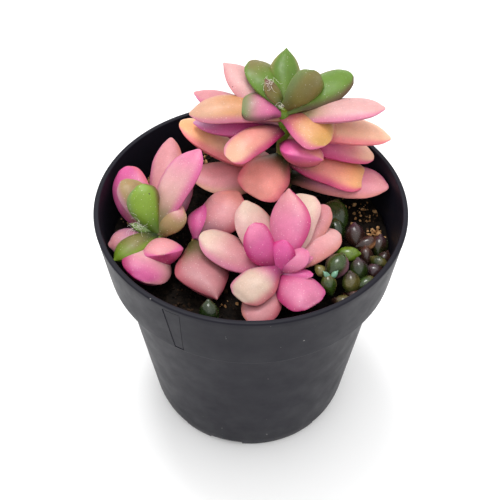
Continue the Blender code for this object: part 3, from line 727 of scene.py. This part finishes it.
# Nursery pot
pot = {
    "rimRadius": 37.5, "height": 68.5, "collarHeight": 16.8,
    "collarFootRadius": 35.7, "bodyTopRadius": 33.1, "bodyFootRadius": 26.7, "wall": 1.3,
    "footRadius": 25.7, "footWidth": 1.1, "floorUnder": 2.4,
    "bodyRows": (5, 12, 20, 30, 40), "collarRows": (3, 6, 9, 12, 14.8),
    "lipRound": 0.5, "rimRound": 0.42, "innerRimRound": 0.35, "steps": 240, "crease": 32,
    "notches": [(-135, 8), (-104, 20), (-38, 20), (45, 8), (76, 20), (142, 20)],  # middle and width
    "notchDepth": 2.0, "notchReach": 5,
    "drainRadius": 1.8, "drainCircle": 15.0, "drainCount": 6, "drainSides": 32, "drainReach": 4,
}
collarFoot = pot["height"] - pot["collarHeight"]

# Label panel sunk in the collar: angles of its sides at the top and foot, and its gaps to the collar's ends
label = {"top": (-120.8, -113.8), "foot": (-118.6, -114.8), "topGap": 1.4, "footGap": 0.6,
         "depth": 0.16, "groove": 0.18, "slope": 0.08, "rise": 0.55, "cornerWeld": 0.45,
         "sideMargin": 6, "endMargins": (1.5, 1.2), "shell": 0.3}  # how far round it the collar is cut


def arcPoints(centre, radius, start, end, count=6):
    turns = [radians(start + (end - start) * i / count) for i in range(count + 1)]
    return [(centre[0] + radius * cos(turn), centre[1] + radius * sin(turn)) for turn in turns]


def bodyRadius(height):
    return pot["bodyFootRadius"] + (pot["bodyTopRadius"] - pot["bodyFootRadius"]) * height / collarFoot


def collarRadius(height):
    share = (pot["height"] - height) / pot["collarHeight"]
    return pot["rimRadius"] + (pot["collarFootRadius"] - pot["rimRadius"]) * share


def potFoot():
    # From the middle of the floor's underside, round the foot ring, to the lowest part of the side
    inner, outer, under = pot["footRadius"] - pot["footWidth"], pot["footRadius"], pot["floorUnder"]
    return [(0, under), (8, under), (inner - 0.6, under), (inner - 0.15, under - 0.2), (inner, under - 0.6),
            (inner, 0.15), (inner + 0.15, 0), (outer - 0.1, 0), (outer + 0.1, 0.1), (outer + 0.5, 0.6),
            (bodyRadius(1.3) - 0.5, 1.3), (bodyRadius(2.2) - 0.25, 2.2), (bodyRadius(3.4) - 0.08, 3.4)]


def potSide():
    # Up the body, round the step under the collar, up the collar and over the rim
    lip, rim, innerRim = pot["lipRound"], pot["rimRound"], pot["innerRimRound"]
    body = [(bodyRadius(height), height) for height in (*pot["bodyRows"], collarFoot - 1.2)]
    under = arcPoints((pot["bodyTopRadius"] + lip, collarFoot - lip), lip, 180, 90)
    foot = arcPoints((pot["collarFootRadius"] - lip, collarFoot + lip), lip, -90, 0)
    collar = [(collarRadius(collarFoot + height), collarFoot + height) for height in pot["collarRows"]]
    over = arcPoints((pot["rimRadius"] - rim, pot["height"] - rim), rim, 0, 90)
    inward = arcPoints((pot["rimRadius"] - pot["wall"] + innerRim, pot["height"] - innerRim),
                       innerRim, 90, 180)
    return body + under + foot + collar + over + inward


def potInside():
    # From under the rim down to the middle of the floor; the step stays a wall's thickness above the collar's
    wall, floorTop = pot["wall"], pot["floorUnder"] + pot["wall"]
    return [(pot["collarFootRadius"] - wall + 0.5, collarFoot + 6),
            (pot["collarFootRadius"] - wall, collarFoot + wall + 0.6),
            (pot["bodyTopRadius"] - wall + 0.2, collarFoot + 0.3),
            (bodyRadius(collarFoot - 0.9) - wall, collarFoot - 0.9),
            (bodyRadius(floorTop + 1.2) - wall, floorTop + 1.2),
            (bodyRadius(floorTop) - wall - 1.0, floorTop), (0, floorTop)]


def sinkPanel(bm):
    # Cut the collar's faces along the panel's sides, then inset them for a groove and sink them
    low, high = collarFoot + label["footGap"], pot["height"] - label["topGap"]
    left, right = label["top"][0] - label["sideMargin"], label["top"][1] + label["sideMargin"]
    below, above = label["endMargins"]

    def onCollar(face):
        spot = face.calc_center_median()
        return (left < degrees(atan2(spot.y, spot.x)) < right and low - below < spot.z < high + above
                and spot.xy.length > collarRadius(spot.z) - label["shell"])

    def cornerAt(height, angle):
        radius = collarRadius(height)
        return Vector((radius * cos(radians(angle)), radius * sin(radians(angle)), height))

    sides = [(cornerAt(low, foot), cornerAt(high, top))
             for foot, top in zip(label["foot"], label["top"])]
    planes = []
    for foot, top in sides:
        outward = Vector((foot.x, foot.y, 0)).normalized()
        planes.append((foot, (top - foot).cross(outward).normalized()))
    planes += [(Vector((0, 0, height)), Vector((0, 0, 1))) for height in (low, high)]

    def onPanel(face):
        spot = face.calc_center_median()
        first, second = [(spot - point).dot(normal) for point, normal in planes[:2]]
        return onCollar(face) and low < spot.z < high and first * second < 0

    for point, normal in planes:
        faces = [face for face in bm.faces if onCollar(face)]
        verts = {vert for face in faces for vert in face.verts}
        edges = {edge for face in faces for edge in face.edges}
        around = [*verts, *edges, *faces]
        bmesh.ops.bisect_plane(bm, geom=around, plane_co=point, plane_no=normal, dist=0.0001)
    # Points close to a corner are welded into it, or the insets would cross there
    verts = {vert for face in bm.faces if onPanel(face) for vert in face.verts}
    for corner in sides[0] + sides[1]:
        hub = min(verts, key=lambda vert: (vert.co - corner).length)
        close = {vert: hub for vert in verts
                 if vert is not hub and (vert.co - hub.co).length < label["cornerWeld"]}
        verts -= set(close)
        bmesh.ops.weld_verts(bm, targetmap=close)
    inside = [face for face in bm.faces if onPanel(face)]
    panel = bmesh.ops.dissolve_faces(bm, faces=inside, use_verts=True)["region"]
    for thickness, depth in ((label["slope"], -label["depth"]), (label["groove"], 0.0),
                             (label["slope"], label["depth"] * label["rise"])):
        bmesh.ops.inset_region(bm, faces=panel, thickness=thickness, depth=depth, use_boundary=True)
    bmesh.ops.triangulate(bm, faces=panel, ngon_method="BEAUTY")


def notchCutters():
    cutters = []
    for middle, spread in pot["notches"]:
        bm = bmesh.new()
        block = bmesh.ops.create_cube(bm, size=1)["verts"]
        wide = 2 * pot["footRadius"] * sin(radians(spread / 2))
        bmesh.ops.scale(bm, vec=(pot["notchReach"], wide, 2 * pot["notchDepth"]), verts=block)
        bmesh.ops.translate(bm, vec=(pot["footRadius"] + 0.5, 0, 0), verts=block)
        bmesh.ops.rotate(bm, matrix=Matrix.Rotation(radians(middle), 3, "Z"), verts=block)
        cutters.append(finishPiece(bm, "notch"))
    return cutters


def drainCutters():
    cutters, radius = [], pot["drainRadius"]
    for number in range(pot["drainCount"]):
        angle = 2 * pi * (number + 0.5) / pot["drainCount"]
        spot = (pot["drainCircle"] * cos(angle), pot["drainCircle"] * sin(angle), 3)
        bm = bmesh.new()
        drill = bmesh.ops.create_cone(bm, cap_ends=True, segments=pot["drainSides"], radius1=radius,
                                      radius2=radius, depth=pot["drainReach"])["verts"]
        bmesh.ops.translate(bm, vec=spot, verts=drill)
        cutters.append(finishPiece(bm, "drainHole"))
    return cutters


def cutFrom(piece, cutters):
    # Take the cutters' shapes out of the piece for good
    group = bpy.data.collections.new("cutters")
    for cutter in cutters:
        group.objects.link(cutter)
    boolean = piece.modifiers.new("cut", "BOOLEAN")
    boolean.operation, boolean.solver = "DIFFERENCE", "EXACT"
    boolean.operand_type, boolean.collection = "COLLECTION", group
    mesh = bpy.data.meshes.new_from_object(piece.evaluated_get(bpy.context.evaluated_depsgraph_get()))
    piece.modifiers.clear()
    piece.data = mesh
    for cutter in cutters:
        bpy.data.objects.remove(cutter)
    bpy.data.collections.remove(group)


def makePot(material):
    bm = bmesh.new()
    spinOutline(bm, potFoot() + potSide() + potInside(), pot["steps"])
    sinkPanel(bm)
    piece = finishPiece(bm, "nurseryPot", pot["crease"])
    cutFrom(piece, notchCutters() + drainCutters())
    piece.data.materials.clear()
    piece.data.materials.append(material)
    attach(piece, "root")
    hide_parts("pot")
    print("pot turned")


# Black plastic with a pale haze of handling, specks of dust and a fine moulded grain
plastic = {
    "colour": (0.007, 0.0065, 0.0115), "worn": (0.017, 0.0165, 0.024), "dust": (0.42, 0.4, 0.38),
    "specks": {"cell": 2.4, "rare": 0.72, "largest": 0.09, "strength": 0.45},
    "hazeScale": 45, "hazeRange": (0.4, 0.75), "haze": 0.3,
    "roughness": (0.4, 0.53), "patchScale": 160, "patchRange": (0.3, 0.7),
    "specular": 0.14, "grainScale": 2600, "grain": 0.06, "grainHeight": 0.05,
}


def potMaterial():
    material, tree, shader = newMaterial("blackPlastic")
    place = objectPlace(tree)
    haze = noiseAt(tree, place, plastic["hazeScale"], detail=5, roughness=0.65)
    haze = remap(tree, haze, plastic["hazeRange"], (0.0, plastic["haze"]))
    skin = mixColour(tree, haze, plastic["colour"], plastic["worn"])
    skin = mixColour(tree, specksAt(tree, place, **plastic["specks"]), skin, plastic["dust"])
    tree.links.new(skin, shader.inputs["Base Color"])
    patches = noiseAt(tree, place, plastic["patchScale"], detail=4, roughness=0.6)
    rough = remap(tree, patches, plastic["patchRange"], plastic["roughness"])
    tree.links.new(rough, shader.inputs["Roughness"])
    shader.inputs["Specular IOR Level"].default_value = plastic["specular"]
    grain = noiseAt(tree, place, plastic["grainScale"])
    addBump(tree, shader, grain, plastic["grain"], plastic["grainHeight"])
    return material


# Soil: a lumpy bed with crumbs of peat and bark, and patches of golden grit
soilBed = {
    "rings": 60, "steps": 200, "lump": 0.5, "sink": 0.4,
    "fine": 0.35, "roughSize": 1.6, "roughness": (1.0, 2.0, 4),  # the fractal's three numbers
    "pitSize": 0.7, "pits": 0.6, "bottom": 4.1, "footChamfer": 0.8, "gap": 0.4,
}
crumbForm = {"stretch": (0.65, 1.35), "depth": 0.35, "rise": 0.45, "lump": 0.7, "lumpSize": 2.5,
             "crease": 40, "batch": 60, "reach": 33.5}
crumbKinds = [
    # name, how many, smallest, largest, seed
    ("peatCrumbs", 2300, 0.25, 0.75, 21),
    ("barkCrumbs", 700, 0.35, 1.1, 22),
]
goldGrit = {
    "smallest": 0.3, "largest": 1.1, "seed": 23,
    "patches": [
        # place, spread, how many, heap height
        ((-26.3, 18.6), 3.4, 90, 2.6), ((31.0, 1.4), 2.3, 70, 1.0), ((-15.0, 29.0), 4.2, 100, 2.6),
        ((-30.5, 5.0), 3.0, 16, 0.0), ((27.5, 9.0), 5.0, 40, 0.2), ((-6.0, -22.0), 6.0, 16, 0.0),
    ],
}


def soilHeight(x, y):
    low = 0.5 * sin(0.55 * x + 0.8) * cos(0.47 * y - 0.4) + 0.5 * sin(0.31 * x - 0.62 * y + 1.9)
    return soilPlace["level"] + soilBed["lump"] * low


def makeSoilBed(material):
    bm = bmesh.new()
    level, bottom = soilPlace["level"], soilBed["bottom"]
    top = [(soilPlace["radius"] * i / soilBed["rings"], level) for i in range(soilBed["rings"] + 1)]
    wall = [(radius - soilBed["gap"], height) for radius, height in potInside() if bottom < height < level]
    foot = [(wall[-1][0] - soilBed["footChamfer"], bottom), (0, bottom)]
    spinOutline(bm, top + wall + foot, soilBed["steps"])
    for vert in bm.verts:
        x, y = vert.co.x, vert.co.y
        if vert.co.z > level - 0.01:
            rough = noise.fractal(Vector((x, y, 0)) / soilBed["roughSize"], *soilBed["roughness"])
            pit = noise.noise(Vector((x, y, 9)) / soilBed["pitSize"])
            vert.co.z = soilHeight(x, y) - soilBed["sink"] + soilBed["fine"] * (rough + soilBed["pits"] * pit)
    piece = finishPiece(bm, "soilBed")
    piece.data.materials.append(material)
    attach(piece, "root")
    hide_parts("soil")
    print("soil bed made")


def addCrumb(bm, chance, x, y, size, lift=0.0):
    # A rough little lump half sunk in the bed
    made = bmesh.ops.create_icosphere(bm, subdivisions=1, radius=size / 2)["verts"]
    stretch = Vector([chance.uniform(*crumbForm["stretch"]) for _ in range(3)])
    seed = Vector([chance.uniform(0, 50) for _ in range(3)])
    height = soilHeight(x, y) + lift - crumbForm["depth"] + size * chance.uniform(0.0, crumbForm["rise"])
    turn = (Matrix.Translation((x, y, height)) @ Matrix.Rotation(chance.uniform(0, 2 * pi), 4, "Z")
            @ Matrix.Rotation(chance.uniform(0, pi), 4, "X"))
    for vert in made:
        lump = 1 + crumbForm["lump"] * noise.noise(vert.co * crumbForm["lumpSize"] / size + seed)
        vert.co = turn @ (vert.co * stretch * lump)


def finishCrumbs(crumbs, name, chance, material):
    # Crumbs are made a batch at a time, because one large mesh slows every step
    whole = bmesh.new()
    for first in range(0, len(crumbs), crumbForm["batch"]):
        bm = bmesh.new()
        for crumb in crumbs[first:first + crumbForm["batch"]]:
            addCrumb(bm, chance, *crumb)
        gather(whole, bm)
    piece = finishPiece(whole, name, crumbForm["crease"])
    piece.data.materials.append(material)
    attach(piece, "root")


def scatterCrumbs(name, count, smallest, largest, seed, material):
    chance = random.Random(seed)
    crumbs = []
    for _ in range(count):
        angle, reach = chance.uniform(0, 2 * pi), crumbForm["reach"] * chance.uniform(0, 1) ** 0.5
        size = smallest + (largest - smallest) * chance.uniform(0, 1) ** 2.5  # mostly small ones
        crumbs.append((reach * cos(angle), reach * sin(angle), size))
    finishCrumbs(crumbs, name, chance, material)


def heapGrit(material):
    chance = random.Random(goldGrit["seed"])
    small, large = goldGrit["smallest"], goldGrit["largest"]
    crumbs = []
    for (x, y), spread, count, heap in goldGrit["patches"]:
        for _ in range(count):
            spot = Vector((chance.gauss(x, spread / 2), chance.gauss(y, spread / 2)))
            size = small + (large - small) * chance.uniform(0, 1) ** 2
            if spot.length > crumbForm["reach"]:
                spot *= crumbForm["reach"] / spot.length
            slope = max(0.0, 1 - (spot - Vector((x, y))).length / spread)
            crumbs.append((spot.x, spot.y, size, heap * slope * chance.uniform(0.3, 1)))
    finishCrumbs(crumbs, "goldenGrit", chance, material)


# Earth finishes: dark and light colour, roughness
earths = {
    "peat": ((0.002, 0.0015, 0.0013), (0.014, 0.009, 0.006), 0.85),
    "peatCrumb": ((0.003, 0.002, 0.0015), (0.025, 0.015, 0.01), 0.8),
    "barkCrumb": ((0.015, 0.008, 0.005), (0.07, 0.038, 0.02), 0.8),
    "goldGrit": ((0.22, 0.1, 0.035), (0.7, 0.42, 0.2), 0.7),
}
allEarth = {"blotchScale": 700, "blotchRange": (0.38, 0.68), "specular": 0.1,
            "grainScale": 4000, "grain": 0.6, "grainHeight": 0.15}


def earthMaterial(name):
    dark, light, roughness = earths[name]
    material, tree, shader = newMaterial(name)
    place = objectPlace(tree)
    blotch = noiseAt(tree, place, allEarth["blotchScale"], detail=4, roughness=0.65)
    tone = mixColour(tree, remap(tree, blotch, allEarth["blotchRange"], (0.0, 1.0)), dark, light)
    tree.links.new(tone, shader.inputs["Base Color"])
    shader.inputs["Roughness"].default_value = roughness
    shader.inputs["Specular IOR Level"].default_value = allEarth["specular"]
    grain = noiseAt(tree, place, allEarth["grainScale"], detail=4, roughness=0.7)
    addBump(tree, shader, grain, allEarth["grain"], allEarth["grainHeight"])
    return material


# Build
placeCamera()
lightStudio()
layFloor()
print("camera, light and floor set")
makePot(potMaterial())
makeSoilBed(earthMaterial("peat"))
for kind, earth in zip(crumbKinds, ("peatCrumb", "barkCrumb")):
    scatterCrumbs(*kind, earthMaterial(earth))
heapGrit(earthMaterial("goldGrit"))
print("crumbs scattered")
plantSkin = skinMaterial("plantSkin", leafSkin)
glossySkin = skinMaterial("glossySkin", beadSkin)
growPlant("backPlantLeaves", backPlant, plantSkin, "back_plant")
growPlant("backCrownLeaves", backCrown, plantSkin, "back_crown")
growPlant("frontPlantLeaves", frontPlant, plantSkin, "front_plant")
growPlant("leftPlantLeaves", leftPlant, plantSkin, "left_plant")
growPlant("sideShootLeaves", sideShoot, plantSkin, "side_shoot")
growShoot("greenBeads", greenShoot, glossySkin, "green_shoot")
growShoot("brownBeads", brownShoot, glossySkin, "brown_shoot")
growShoot("frontBeads", frontShoot, glossySkin, "front_shoot")
curlHairs(hairMaterial())
